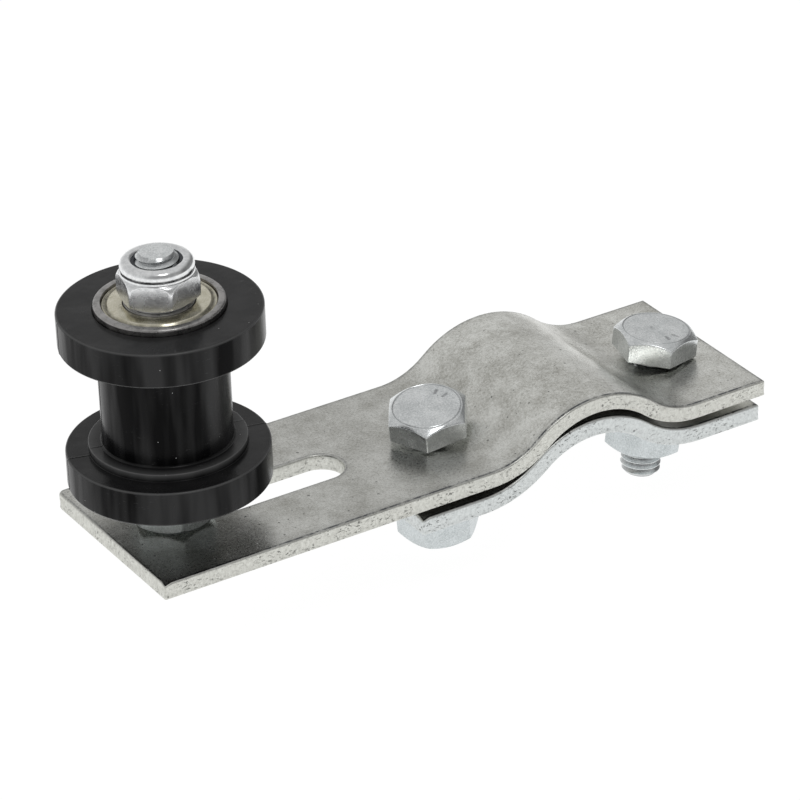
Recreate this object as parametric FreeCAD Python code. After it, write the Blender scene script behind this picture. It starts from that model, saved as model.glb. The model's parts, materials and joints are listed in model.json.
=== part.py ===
import FreeCAD, Part
import math
import os

# A chain tensioner: a grooved guide roller on two ball bearings stands on the slotted arm of a
# two-plate tube clamp. Both plates are bent over the same tube, whose centre line is the Y axis.
# Millimetres. X runs along the arm, away from the roller, and Z points up through the bolts.

Vector = FreeCAD.Vector
UP = Vector(0, 0, 1)
ALONG = Vector(1, 0, 0)
ACROSS = Vector(0, 1, 0)
ORIGIN = Vector(0, 0, 0)

# Plates
PLATE_WIDTH = 41.0
ARM_LENGTH = 132.0
ARM_THICKNESS = 3.2
CLAMP_LENGTH = 76.3
CLAMP_THICKNESS = 3.4
PLATE_GAP = 1.65          # air between the two flat stretches
CROWN_RADIUS = 20.0       # outside of each hump, over the tube
ARM_HUMP_HEIGHT = 8.45
ARM_FOOT_RADIUS = 15.5    # upper face, where the hump meets the flat
ARM_HUMP_SHIFT = 0.7      # the arm's hump sits this much further along X
CLAMP_HUMP_HEIGHT = 8.7
CLAMP_FOOT_RADIUS = 19.0
ARM_FREE_END = 39.5       # X of the arm's end beyond the rear bolt
ROUNDED_CORNER = 1.5      # the arm's back corner beside the roller
SHARP_CORNER = 0.3        # the other corners in plan

# Slot for the roller's axle
SLOT_WIDTH = 9.2
SLOT_LENGTH = 40.5
AXLE_END_DISTANCE = 13.35  # from the arm's end to the axle

# Clamp screws and nuts
BOLT_DIAMETER = 7.9       # an M8 thread, over its crests
NUT_BORE = 8.0
ACROSS_FLATS = 14.4
HEAD_HEIGHT = 5.2
WASHER_FACE_HEIGHT = 0.4
NUT_HEIGHT = 7.5
CORNER_CHAMFER_ANGLE = 36.0
CHAMFER_CIRCLE = 0.925    # flat circle on a head or nut, as a share of its width across flats
END_CHAMFER = 0.9
TURNING_MARGIN = 0.5      # how far an outline that trims a hexagon reaches past its corners
CLAMP_BOLT_LENGTH = 26.0
ARM_HOLE = 10.0
CLAMP_HOLE = 10.2
CLAMP_TRAVEL = 4.0        # how far the clamp plate opens, the rear nut backing off ahead of it

# Both clamp bolts are loose in their holes and lean. x and y place the washer face, lift is its
# height above the arm, and the leans are degrees: lean_x tips the head along X, lean_y along -Y.
# nut_reach is from the washer face to the nut's far side.
FRONT_SCREW = {"x": -24.33, "y": -1.05, "lift": 1.4, "lean_x": -8.0, "lean_y": 6.8,
               "head_turn": -4.9, "nut_turn": -16.5, "nut_reach": 24.4}
REAR_SCREW = {"x": 27.85, "y": 0.1, "lift": 0.8, "lean_x": 6.2, "lean_y": 2.4,
              "head_turn": 17.3, "nut_turn": 50.0, "nut_reach": 20.0}

# Axle stack, from the arm upwards
AXLE_LENGTH = 59.7
AXLE_WASHER_HEIGHT = 2.0
AXLE_WASHER_DIAMETER = 17.0
AXLE_WASHER_BORE = 8.4
LOCK_NUT_TURN = 14.0
NYLOC_TURN = 19.0
NYLOC_ACROSS_FLATS = 13.5
NYLOC_HEIGHT = 8.5
NYLOC_FACE_RADIUS = 5.8   # the raised washer face under the hexagon
NYLOC_FACE_HEIGHT = 0.5
NYLOC_BASE_ANGLE = 24.0   # chamfer at the hexagon's foot
NYLOC_SHOULDER_ANGLE = 74.0
NYLOC_SHOULDER_RADIUS = 7.3
NYLOC_SHOULDER_HEIGHT = 5.6
NYLOC_COLLAR_BASE = 5.8
NYLOC_COLLAR_TOP = 7.6    # where the collar's rounding starts
NYLOC_COLLAR_RADIUS = 6.65
NYLOC_RIM_RADIUS = 5.9
NYLOC_MOUTH_RADIUS = 4.6
INSERT_RADIUS = 5.4
INSERT_BASE = 6.0
INSERT_TOP = 7.9

# Ball bearings
BEARING_OUTSIDE = 24.0
BEARING_BORE = 8.0
BEARING_WIDTH = 8.0
RING_CHAMFER = 0.4
OUTER_LAND_RADIUS = 9.6
INNER_LAND_RADIUS = 6.5
BALL_COUNT = 7
BALL_DIAMETER = 3.97
BALL_CIRCLE_RADIUS = 8.05
RACE_CLEARANCE = 0.04
CAGE_WALL = 1.2
CAGE_HEIGHT = 5.0
SHIELD_SEAT_RADIUS = 10.5
SHIELD_SEAT_DEPTH = 0.9
SHIELD_THICKNESS = 0.35
SHIELD_STEP_RADIUS = 9.3
SHIELD_RECESS = 0.15
SHIELD_CLEARANCE = 0.15

# Roller
FLANGE_DIAMETER = 37.6
FLANGE_THICKNESS = 6.75
HUB_DIAMETER = 24.0
SHOULDER_DIAMETER = 29.1
SHOULDER_HEIGHT = 1.45
ROLLER_HEIGHT = 34.8
ROLLER_BORE_RADIUS = 10.2
BEARING_STANDOUT = 1.27   # each bearing stands this far out of its flange
FLANGE_EDGE_RADIUS = 0.6
SPACER_RADIUS = 6.0

# Levels
CLAMP_TOP = CROWN_RADIUS - CLAMP_HUMP_HEIGHT
ARM_TOP = CLAMP_TOP + PLATE_GAP + ARM_THICKNESS
ROLLER_X = ARM_FREE_END - ARM_LENGTH + AXLE_END_DISTANCE
SLOT_START = ROLLER_X - SLOT_WIDTH / 2
BEARING_BASE = ARM_TOP + NUT_HEIGHT
ROLLER_BASE = BEARING_BASE + BEARING_STANDOUT
UPPER_BEARING_BASE = ROLLER_BASE + ROLLER_HEIGHT + BEARING_STANDOUT - BEARING_WIDTH
NYLOC_BASE = UPPER_BEARING_BASE + BEARING_WIDTH
AXLE_WASHER_BASE = ARM_TOP - ARM_THICKNESS - AXLE_WASHER_HEIGHT


def export(name, shape):
    shape.exportStep("parts/" + name + ".step")


def disc(radius, height, x=0.0, z=0.0):
    return Part.makeCylinder(radius, height, Vector(x, 0, z), UP)


def tube(outer_radius, inner_radius, height, z=0.0):
    return disc(outer_radius, height, z=z).cut(disc(inner_radius, height, z=z))


def revolved(outline):
    """The solid swept by (radius, height) points turned about the Z axis."""
    points = [Vector(radius, 0, height) for radius, height in outline]
    face = Part.Face(Part.makePolygon(points + points[:1]))
    return face.revolve(ORIGIN, UP, 360)


def placed(shape, x, z):
    """A copy moved to (x, 0, z)."""
    moved = shape.copy()
    moved.translate(Vector(x, 0, z))
    return moved


def on_screw(shape, screw):
    """A copy of a shape made about a screw's axis, with the washer face at z = 0, put in place."""
    moved = shape.copy()
    moved.rotate(ORIGIN, ALONG, screw["lean_y"])
    moved.rotate(ORIGIN, ACROSS, screw["lean_x"])
    moved.translate(Vector(screw["x"], screw["y"], ARM_TOP + screw["lift"]))
    return moved


# ---------------------------------------------------------------- plates

def hump_arcs(centre, base, height, crown, foot):
    """The three arcs of a hump: foot, crown, foot. Each is (start, middle, end) in the XZ plane."""
    half_width = math.sqrt(2 * (crown + foot) * height - height ** 2)
    slope = 2 * math.atan(height / half_width)
    summit = base + height

    def foot_point(side, angle):
        across = half_width - foot * math.sin(angle)
        return Vector(centre + side * across, 0, base + foot * (1 - math.cos(angle)))

    def crown_point(angle):
        return Vector(centre + crown * math.sin(angle), 0, summit - crown * (1 - math.cos(angle)))

    return [
        (foot_point(-1, 0), foot_point(-1, slope / 2), foot_point(-1, slope)),
        (crown_point(-slope), crown_point(0), crown_point(slope)),
        (foot_point(1, slope), foot_point(1, slope / 2), foot_point(1, 0)),
    ]


def bent_plate(start_x, end_x, top, thickness, centre, height, foot):
    """A flat strip, bent up into one hump over the tube."""
    upper = hump_arcs(centre, top, height, CROWN_RADIUS, foot)
    lower = hump_arcs(centre, top - thickness, height, CROWN_RADIUS - thickness, foot + thickness)
    corners = [Vector(x, 0, z) for x, z in (
        (start_x, top), (end_x, top), (end_x, top - thickness), (start_x, top - thickness))]
    edges = [Part.LineSegment(corners[0], upper[0][0])]
    edges += [Part.Arc(*arc) for arc in upper]
    edges += [Part.LineSegment(upper[2][2], corners[1]), Part.LineSegment(corners[1], corners[2])]
    edges += [Part.LineSegment(corners[2], lower[2][2])]
    edges += [Part.Arc(*reversed(arc)) for arc in reversed(lower)]
    edges += [Part.LineSegment(lower[0][0], corners[3]), Part.LineSegment(corners[3], corners[0])]
    outline = Part.Wire([edge.toShape() for edge in edges])
    face = Part.Face(outline)
    face.translate(Vector(0, -PLATE_WIDTH / 2, 0))
    return face.extrude(Vector(0, PLATE_WIDTH, 0))


def round_plan_corners(plate, radii):
    """Round the upright corner edges; radii maps (x, side) to a radius."""
    for (x, side), radius in radii.items():
        edges = [
            edge for edge in plate.Edges
            if abs(edge.CenterOfMass.x - x) < 1e-6
            and abs(edge.CenterOfMass.y - side * PLATE_WIDTH / 2) < 1e-6
        ]
        plate = plate.makeFillet(radius, edges)
    return plate


def bolt_hole(diameter, x, z_low, z_high):
    return disc(diameter / 2, z_high - z_low, x=x, z=z_low)


def screw_x(screw, z):
    """Where a leaning screw's axis crosses the height z."""
    depth = ARM_TOP + screw["lift"] - z
    return screw["x"] - depth * math.tan(math.radians(screw["lean_x"]))


def axle_slot():
    radius = SLOT_WIDTH / 2
    near = SLOT_START + radius
    far = SLOT_START + SLOT_LENGTH - radius
    low = ARM_TOP - 2 * ARM_THICKNESS
    depth = 3 * ARM_THICKNESS
    middle = Part.makeBox(far - near, SLOT_WIDTH, depth, Vector(near, -radius, low))
    ends = [disc(radius, depth, x=x, z=low) for x in (near, far)]
    return middle.fuse(ends).removeSplitter()


def arm_plate():
    start_x = ARM_FREE_END - ARM_LENGTH
    plate = bent_plate(start_x, ARM_FREE_END, ARM_TOP, ARM_THICKNESS,
                       ARM_HUMP_SHIFT, ARM_HUMP_HEIGHT, ARM_FOOT_RADIUS)
    plate = round_plan_corners(plate, {
        (start_x, 1): ROUNDED_CORNER, (start_x, -1): SHARP_CORNER,
        (ARM_FREE_END, 1): SHARP_CORNER, (ARM_FREE_END, -1): SHARP_CORNER})
    low = ARM_TOP - 2 * ARM_THICKNESS
    high = ARM_TOP + ARM_THICKNESS
    for screw in (FRONT_SCREW, REAR_SCREW):
        x = screw_x(screw, ARM_TOP - ARM_THICKNESS / 2)
        plate = plate.cut(bolt_hole(ARM_HOLE, x, low, high))
    return plate.cut(axle_slot())


def clamp_plate():
    half = CLAMP_LENGTH / 2
    plate = bent_plate(-half, half, CLAMP_TOP, CLAMP_THICKNESS,
                       0.0, CLAMP_HUMP_HEIGHT, CLAMP_FOOT_RADIUS)
    plate = round_plan_corners(plate, {
        (x, side): SHARP_CORNER for x in (-half, half) for side in (-1, 1)})
    low = CLAMP_TOP - 2 * CLAMP_THICKNESS
    high = CLAMP_TOP + CLAMP_THICKNESS
    # Each hole is centred on its leaning bolt half-way through the plate's downward travel.
    middle = CLAMP_TOP - (CLAMP_THICKNESS + CLAMP_TRAVEL) / 2
    for screw in (FRONT_SCREW, REAR_SCREW):
        plate = plate.cut(bolt_hole(CLAMP_HOLE, screw_x(screw, middle), low, high))
    return plate


# ---------------------------------------------------------------- fasteners

def hexagon(across_flats, height, turn):
    radius = across_flats / math.sqrt(3)
    corners = []
    for corner in range(6):
        angle = math.radians(turn + 60 * corner)
        corners.append(Vector(radius * math.cos(angle), radius * math.sin(angle), 0))
    face = Part.Face(Part.makePolygon(corners + corners[:1]))
    return face.extrude(Vector(0, 0, height))


def chamfered_hexagon(across_flats, height, turn, chamfer_bottom, chamfer_top):
    """A hexagonal block whose corners are turned off by a cone at either end."""
    corner_radius = across_flats / math.sqrt(3) + TURNING_MARGIN
    circle = CHAMFER_CIRCLE * across_flats / 2
    drop = (corner_radius - circle) * math.tan(math.radians(CORNER_CHAMFER_ANGLE))
    outline = [(0, 0)]
    outline += [(circle, 0), (corner_radius, drop)] if chamfer_bottom else [(corner_radius, 0)]
    outline += ([(corner_radius, height - drop), (circle, height)] if chamfer_top
                else [(corner_radius, height)])
    outline.append((0, height))
    return hexagon(across_flats, height, turn).common(revolved(outline))


def hexagon_bolt(length, turn):
    """Washer face at z = 0, head above it, shank below."""
    radius = BOLT_DIAMETER / 2
    head = chamfered_hexagon(ACROSS_FLATS, HEAD_HEIGHT - WASHER_FACE_HEIGHT, turn, False, True)
    head.translate(Vector(0, 0, WASHER_FACE_HEIGHT))
    washer_face = disc(CHAMFER_CIRCLE * ACROSS_FLATS / 2, WASHER_FACE_HEIGHT)
    shank = revolved([(0, 0), (radius, 0), (radius, END_CHAMFER - length),
                      (radius - END_CHAMFER, -length), (0, -length)])
    return head.fuse([washer_face, shank]).removeSplitter()


def hexagon_nut(turn):
    """Lower face at z = 0."""
    block = chamfered_hexagon(ACROSS_FLATS, NUT_HEIGHT, turn, True, True)
    return block.cut(disc(NUT_BORE / 2, NUT_HEIGHT))


def clamp_bolt(screw):
    return on_screw(hexagon_bolt(CLAMP_BOLT_LENGTH, screw["head_turn"]), screw)


def clamp_nut(screw):
    nut = hexagon_nut(screw["nut_turn"])
    nut.translate(Vector(0, 0, -screw["nut_reach"]))
    return on_screw(nut, screw)


# ---------------------------------------------------------------- axle

def axle_bolt():
    """The roller's axle: a hexagon bolt pushed up through the slot."""
    bolt = hexagon_bolt(AXLE_LENGTH, 0.0)
    bolt.rotate(ORIGIN, ALONG, 180)
    return placed(bolt, ROLLER_X, AXLE_WASHER_BASE)


def axle_washer():
    washer = tube(AXLE_WASHER_DIAMETER / 2, AXLE_WASHER_BORE / 2, AXLE_WASHER_HEIGHT)
    return placed(washer, ROLLER_X, AXLE_WASHER_BASE)


def axle_lock_nut():
    return placed(hexagon_nut(LOCK_NUT_TURN), ROLLER_X, ARM_TOP)


def nyloc_nut():
    """A hexagon on a washer face, with a collar whose groove grips the nylon insert."""
    reach = NYLOC_ACROSS_FLATS / math.sqrt(3) + TURNING_MARGIN
    rise = (reach - NYLOC_FACE_RADIUS) * math.tan(math.radians(NYLOC_BASE_ANGLE))
    fall = (reach - NYLOC_SHOULDER_RADIUS) * math.tan(math.radians(NYLOC_SHOULDER_ANGLE))
    skin = revolved([
        (0, 0), (NYLOC_FACE_RADIUS, 0), (NYLOC_FACE_RADIUS, NYLOC_FACE_HEIGHT),
        (reach, NYLOC_FACE_HEIGHT + rise), (reach, NYLOC_SHOULDER_HEIGHT - fall),
        (NYLOC_SHOULDER_RADIUS, NYLOC_SHOULDER_HEIGHT),
        (NYLOC_COLLAR_RADIUS, NYLOC_COLLAR_BASE), (NYLOC_COLLAR_RADIUS, NYLOC_COLLAR_TOP),
        (NYLOC_RIM_RADIUS, NYLOC_HEIGHT), (0, NYLOC_HEIGHT)])
    hollow = revolved([
        (0, 0), (NUT_BORE / 2, 0), (NUT_BORE / 2, INSERT_BASE), (INSERT_RADIUS, INSERT_BASE),
        (INSERT_RADIUS, INSERT_TOP), (NYLOC_MOUTH_RADIUS, INSERT_TOP),
        (NYLOC_MOUTH_RADIUS, NYLOC_HEIGHT), (0, NYLOC_HEIGHT)])
    nut = hexagon(NYLOC_ACROSS_FLATS, NYLOC_HEIGHT, NYLOC_TURN).common(skin).cut(hollow)
    return placed(nut, ROLLER_X, NYLOC_BASE)


def nyloc_insert():
    ring = tube(INSERT_RADIUS, NUT_BORE / 2, INSERT_TOP - INSERT_BASE, z=INSERT_BASE)
    return placed(ring, ROLLER_X, NYLOC_BASE)


def bearing_spacer():
    low = BEARING_BASE + BEARING_WIDTH
    sleeve = tube(SPACER_RADIUS, NUT_BORE / 2, UPPER_BEARING_BASE - low)
    return placed(sleeve, ROLLER_X, low)


# ---------------------------------------------------------------- bearings, centred on z = 0

def ball_race():
    return Part.makeTorus(BALL_CIRCLE_RADIUS, BALL_DIAMETER / 2 + RACE_CLEARANCE)


def ball_spokes():
    """The direction from the bearing's axis to each ball."""
    angles = [2 * math.pi * index / BALL_COUNT for index in range(BALL_COUNT)]
    return [Vector(math.cos(angle), math.sin(angle), 0) for angle in angles]


def bearing_balls():
    return Part.makeCompound([
        Part.makeSphere(BALL_DIAMETER / 2, spoke * BALL_CIRCLE_RADIUS) for spoke in ball_spokes()])


def outer_ring():
    half = BEARING_WIDTH / 2
    outside = BEARING_OUTSIDE / 2
    seat = half - SHIELD_SEAT_DEPTH
    ring = revolved([
        (outside - RING_CHAMFER, -half), (outside, RING_CHAMFER - half),
        (outside, half - RING_CHAMFER), (outside - RING_CHAMFER, half),
        (SHIELD_SEAT_RADIUS, half), (SHIELD_SEAT_RADIUS, seat), (OUTER_LAND_RADIUS, seat),
        (OUTER_LAND_RADIUS, -seat), (SHIELD_SEAT_RADIUS, -seat), (SHIELD_SEAT_RADIUS, -half)])
    return ring.cut(ball_race())


def inner_ring():
    half = BEARING_WIDTH / 2
    bore = BEARING_BORE / 2
    ring = revolved([
        (bore, RING_CHAMFER - half), (bore + RING_CHAMFER, -half), (INNER_LAND_RADIUS, -half),
        (INNER_LAND_RADIUS, half), (bore + RING_CHAMFER, half), (bore, half - RING_CHAMFER)])
    return ring.cut(ball_race())


def ball_cage():
    """A ring with a round pocket for each ball, bored towards the bearing's axis."""
    middle = BALL_CIRCLE_RADIUS
    ring = tube(middle + CAGE_WALL / 2, middle - CAGE_WALL / 2, CAGE_HEIGHT, z=-CAGE_HEIGHT / 2)
    pocket_radius = BALL_DIAMETER / 2 + 2 * RACE_CLEARANCE
    pockets = [
        Part.makeCylinder(pocket_radius, 2 * CAGE_WALL, spoke * (middle - CAGE_WALL), spoke)
        for spoke in ball_spokes()
    ]
    return ring.cut(pockets)


def shield():
    """A pressed cover: a raised inner band and a lower rim held in the outer ring's seat."""
    inner = INNER_LAND_RADIUS + SHIELD_CLEARANCE
    top = BEARING_WIDTH / 2 - SHIELD_RECESS
    rim_base = BEARING_WIDTH / 2 - SHIELD_SEAT_DEPTH
    rim_top = rim_base + SHIELD_THICKNESS
    slope = 0.3
    return revolved([
        (inner, top - SHIELD_THICKNESS), (inner, top), (SHIELD_STEP_RADIUS, top),
        (SHIELD_STEP_RADIUS + slope, rim_top), (SHIELD_SEAT_RADIUS, rim_top),
        (SHIELD_SEAT_RADIUS, rim_base), (SHIELD_STEP_RADIUS + slope, rim_base),
        (SHIELD_STEP_RADIUS, rim_base), (SHIELD_STEP_RADIUS - slope, top - SHIELD_THICKNESS)])


def export_bearing(name, base, outward):
    """One bearing; outward is +1 when its outer face looks up, -1 when it looks down."""
    middle = base + BEARING_WIDTH / 2
    inward_shield = shield().rotate(ORIGIN, ALONG, 180)
    shields = {"outer": shield(), "inner": inward_shield}
    if outward < 0:
        shields = {"outer": inward_shield, "inner": shield()}
    pieces = {
        "outer_ring": outer_ring(),
        "inner_ring": inner_ring(),
        "balls": bearing_balls(),
        "cage": ball_cage(),
        "outer_shield": shields["outer"],
        "inner_shield": shields["inner"],
    }
    for piece, shape in pieces.items():
        export(name + "_bearing_" + piece, placed(shape, ROLLER_X, middle))


# ---------------------------------------------------------------- roller

def roller():
    """A moulded spool: two flanges on a hub, with a bearing pocket in each end."""
    flange = FLANGE_DIAMETER / 2
    hub = HUB_DIAMETER / 2
    shoulder = SHOULDER_DIAMETER / 2
    pocket_radius = BEARING_OUTSIDE / 2
    pocket = BEARING_WIDTH - BEARING_STANDOUT
    top = ROLLER_HEIGHT
    ledge = FLANGE_THICKNESS + SHOULDER_HEIGHT
    spool = revolved([
        (pocket_radius, 0), (flange, 0), (flange, FLANGE_THICKNESS),
        (shoulder, FLANGE_THICKNESS), (shoulder, ledge), (hub, ledge),
        (hub, top - ledge), (shoulder, top - ledge), (shoulder, top - FLANGE_THICKNESS),
        (flange, top - FLANGE_THICKNESS), (flange, top), (pocket_radius, top),
        (pocket_radius, top - pocket), (ROLLER_BORE_RADIUS, top - pocket),
        (ROLLER_BORE_RADIUS, pocket), (pocket_radius, pocket)])
    rims = [
        edge for edge in spool.Edges
        if isinstance(edge.Curve, Part.Circle) and abs(edge.Curve.Radius - flange) < 1e-6
    ]
    spool = spool.makeFillet(FLANGE_EDGE_RADIUS, rims)
    return placed(spool, ROLLER_X, ROLLER_BASE)


os.makedirs("parts", exist_ok=True)
export("arm_plate", arm_plate())
export("clamp_plate", clamp_plate())
export("clamp_bolt_front", clamp_bolt(FRONT_SCREW))
export("clamp_nut_front", clamp_nut(FRONT_SCREW))
export("clamp_bolt_rear", clamp_bolt(REAR_SCREW))
export("clamp_nut_rear", clamp_nut(REAR_SCREW))
export("axle_bolt", axle_bolt())
export("axle_washer", axle_washer())
export("axle_lock_nut", axle_lock_nut())
export("axle_nyloc_nut", nyloc_nut())
export("nyloc_insert", nyloc_insert())
export("bearing_spacer", bearing_spacer())
export("roller", roller())
export_bearing("lower", BEARING_BASE, -1)
export_bearing("upper", UPPER_BEARING_BASE, 1)
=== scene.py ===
import json
import math
import random

import bpy
from mathutils import Matrix, Vector
from mathutils.geometry import delaunay_2d_cdt


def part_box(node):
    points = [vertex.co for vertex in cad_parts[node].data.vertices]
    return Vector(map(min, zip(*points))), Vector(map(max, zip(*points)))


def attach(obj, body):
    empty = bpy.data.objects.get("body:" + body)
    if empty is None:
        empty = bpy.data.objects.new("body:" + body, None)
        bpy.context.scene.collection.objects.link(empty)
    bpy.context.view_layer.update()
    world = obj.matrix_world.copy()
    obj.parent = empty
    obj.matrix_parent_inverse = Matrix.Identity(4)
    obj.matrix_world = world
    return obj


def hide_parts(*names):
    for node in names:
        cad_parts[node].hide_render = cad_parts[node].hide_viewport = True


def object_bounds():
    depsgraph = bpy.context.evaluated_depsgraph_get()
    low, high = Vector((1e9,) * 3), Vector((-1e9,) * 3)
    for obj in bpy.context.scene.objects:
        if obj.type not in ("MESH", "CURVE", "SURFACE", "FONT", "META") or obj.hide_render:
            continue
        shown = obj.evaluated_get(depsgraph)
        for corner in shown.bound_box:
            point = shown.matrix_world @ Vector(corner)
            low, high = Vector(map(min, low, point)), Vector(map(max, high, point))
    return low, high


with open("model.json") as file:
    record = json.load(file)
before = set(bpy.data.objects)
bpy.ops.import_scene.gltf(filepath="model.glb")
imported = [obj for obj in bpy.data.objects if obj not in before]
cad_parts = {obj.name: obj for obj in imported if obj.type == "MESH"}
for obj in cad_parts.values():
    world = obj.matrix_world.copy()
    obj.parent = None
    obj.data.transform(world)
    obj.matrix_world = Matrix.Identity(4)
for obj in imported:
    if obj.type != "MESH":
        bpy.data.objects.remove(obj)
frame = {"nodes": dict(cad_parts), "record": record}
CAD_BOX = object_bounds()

# A chain tensioner: a black guide roller on a slotted arm, with two bent plates that clamp a tube.
# Sizes are in millimetres until a mesh is made. X runs along the arm away from the roller, Z is up,
# and the Y axis is the centre line of the tube.

MM = 0.001
BODY_OF = {
    node: body
    for body, nodes in frame["record"]["behaviour"]["bodies"].items() for node in nodes
}


def corners(node):
    """A CAD node's lowest and highest corners in millimetres."""
    low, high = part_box(node)
    return low / MM, high / MM


# ---- sizes and places

ARM_LOW, ARM_HIGH = corners("arm_plate")
CLAMP_LOW, CLAMP_HIGH = corners("clamp_plate")
ARM_THICKNESS = 3.2
CLAMP_THICKNESS = 3.4
ARM_TOP = ARM_LOW.z + ARM_THICKNESS
CLAMP_TOP = CLAMP_LOW.z + CLAMP_THICKNESS
CROWN_RADIUS = 20.0
ARM_HUMP_SHIFT = 0.7
ARM_FOOT_RADIUS = 15.5
CLAMP_FOOT_RADIUS = 19.0
ROUNDED_CORNER = 1.5
SHARP_CORNER = 0.3
ARM_ROLL, ARM_BURR = 0.42, 0.18         # roundings of the upper and the lower edges
CLAMP_ROLL, CLAMP_BURR = 0.5, 0.3
ROLLER_LOW, ROLLER_HIGH = corners("roller")
ROLLER_X = (ROLLER_LOW.x + ROLLER_HIGH.x) / 2
SLOT_WIDTH = 9.2
SLOT_LENGTH = 40.5
SLOT_START = ROLLER_X - SLOT_WIDTH / 2
ARM_HOLE = 10.0
CLAMP_HOLE = 10.2
CLAMP_TRAVEL = 4.0
OIL_EDGE = -8.0                         # darker with oil from here towards the roller
OIL_FADE = 18.0

THREAD_RADIUS = 3.95
THREAD_PITCH = 1.25
THREAD_DEPTH = 0.72
THREAD_END_RADIUS = 3.05
NUT_BORE_RADIUS = 4.0
WASHER_BORE_RADIUS = 4.2
ACROSS_FLATS = 14.4
HEAD_HEIGHT = 5.2
DISH_RADIUS, DISH_DEPTH = 1.3, 0.10     # the hollow in the middle of a head
MARK_DISTANCE, MARK_SPREAD = 4.5, 13.0  # from the head's axis, and degrees either side
MARK_HALF_LENGTH, MARK_DEPTH = 0.55, 0.09
WASHER_FACE_HEIGHT = 0.4
NUT_HEIGHT = 7.5
CHAMFER_CIRCLE = 0.925
CHAMFER_SLOPE = math.tan(math.radians(36.0))
CLAMP_BOLT_LENGTH = 26.0
FRONT_SCREW = {"x": -24.33, "y": -1.05, "lift": 1.4, "lean_x": -8.0, "lean_y": 6.8,
               "head_turn": -4.9, "nut_turn": -16.5, "nut_reach": 24.4, "marks": 22.0}
REAR_SCREW = {"x": 27.85, "y": 0.1, "lift": 0.8, "lean_x": 6.2, "lean_y": 2.4,
              "head_turn": 17.3, "nut_turn": 50.0, "nut_reach": 20.0, "marks": -82.0}

LOCK_NUT_TURN = 14.0
NYLOC_TURN = 19.0
NYLOC_ACROSS_FLATS = 13.5
NYLOC_FACE_RADIUS = 5.8
NYLOC_FACE_HEIGHT = 0.5
NYLOC_BASE_SLOPE = math.tan(math.radians(24.0))
NYLOC_SHOULDER_TOP = 5.75
NYLOC_SHOULDER_START = 6.5              # the radius where the shoulder starts to fall
NYLOC_SHOULDER_WIDTH, NYLOC_SHOULDER_FALL = 1.32, 2.75
NYLOC_CREASE = 6.84
NYLOC_BASE = corners("axle_nyloc_nut")[0].z
AXLE_BASE, AXLE_TOP = (corner.z for corner in corners("axle_bolt"))
AXLE_THREAD_LENGTH = 20.0

ROLLER_HEIGHT = ROLLER_HIGH.z - ROLLER_LOW.z
FLANGE_RADIUS = 18.79
FLANGE_THICKNESS = 6.75
HUB_RADIUS = 12.0
SHOULDER_RADIUS = 14.55
SHOULDER_HEIGHT = 1.45
ROLLER_BORE_RADIUS = 10.2
BEARING_STANDOUT = 1.27
BEARING_WIDTH = 8.0
BEARING_RADIUS = 12.0
PARTING_ANGLES = (164.0, -12.0)         # where the two halves of the roller's mould met

COLUMNS_PER_TURN = 120                  # round a hexagon or a thread
CORNER_STEPS = 4                        # in the arc of a rounded corner
HALF_CIRCLE_STEPS = 24                  # round the end of a slot or half a hole
RING_COLUMNS = 160
ROLLER_COLUMNS = 224
GRID_STEP, EDGE_SPACING, HOLE_SPACING = 1.1, 1.2, 0.6
GRID_MARGIN = 0.7                       # kept free between a plate's grid and its rolled edges
WALL_ROWS = 6                           # down a plate's sheared walls
WALL_ROUGHNESS, TORN_DEPTH = 0.035, 0.05
TORN_FROM = 0.45                        # the share of the wall's height above the torn part
RIM_OFFSET, RIM_REACH = 0.04, 0.34      # the painted shade line just inside a rolled edge
FRONT_RIM, OTHER_RIM = 1.5, 0.6         # how strong the painted shade line is
CORNER_LOSS = 0.155                     # reach lost at a hexagon's corner, per unit of rounding


# ---- mesh tools

def arc(centre, radius, start, end, steps):
    """Points of an arc in a plane, angles in degrees, both ends included."""
    points = []
    for step in range(steps + 1):
        angle = math.radians(start + (end - start) * step / steps)
        points.append((centre[0] + radius * math.cos(angle), centre[1] + radius * math.sin(angle)))
    return points


def rounded(outline):
    """A closed outline of (x, y, radius) corners as points, each corner turned by an arc."""
    points = []
    count = len(outline)
    for index, (x, y, radius) in enumerate(outline):
        here = Vector((x, y))
        before = (Vector(outline[index - 1][:2]) - here).normalized()
        after = (Vector(outline[(index + 1) % count][:2]) - here).normalized()
        if radius == 0 or abs(before.cross(after)) < 1e-6:
            points.append((x, y))
            continue
        half = before.angle(after) / 2
        centre = here + (before + after).normalized() * (radius / math.sin(half))
        start = here + before * (radius / math.tan(half)) - centre
        end = here + after * (radius / math.tan(half)) - centre
        for step in range(CORNER_STEPS + 1):
            spoke = start.slerp(end, step / CORNER_STEPS) if start.angle(end) > 1e-6 else start
            points.append(tuple(centre + spoke.normalized() * radius))
    return points


def nearness(distance, reach):
    """1 at no distance, falling evenly to 0 at the reach."""
    return max(0.0, 1 - distance / reach)


def stack(rings, closed=False):
    """Quads between rings of equal length; a last ring of one point closes the end to it."""
    size = len(rings[0])
    faces = []
    for index in range(len(rings) if closed else len(rings) - 1):
        after = (index + 1) % len(rings)
        first, second = index * size, after * size
        for column in range(size):
            following = (column + 1) % size
            if len(rings[after]) == 1:
                faces.append((first + column, first + following, second))
            else:
                faces.append((first + column, first + following,
                              second + following, second + column))
    return [point for ring in rings for point in ring], faces


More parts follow.
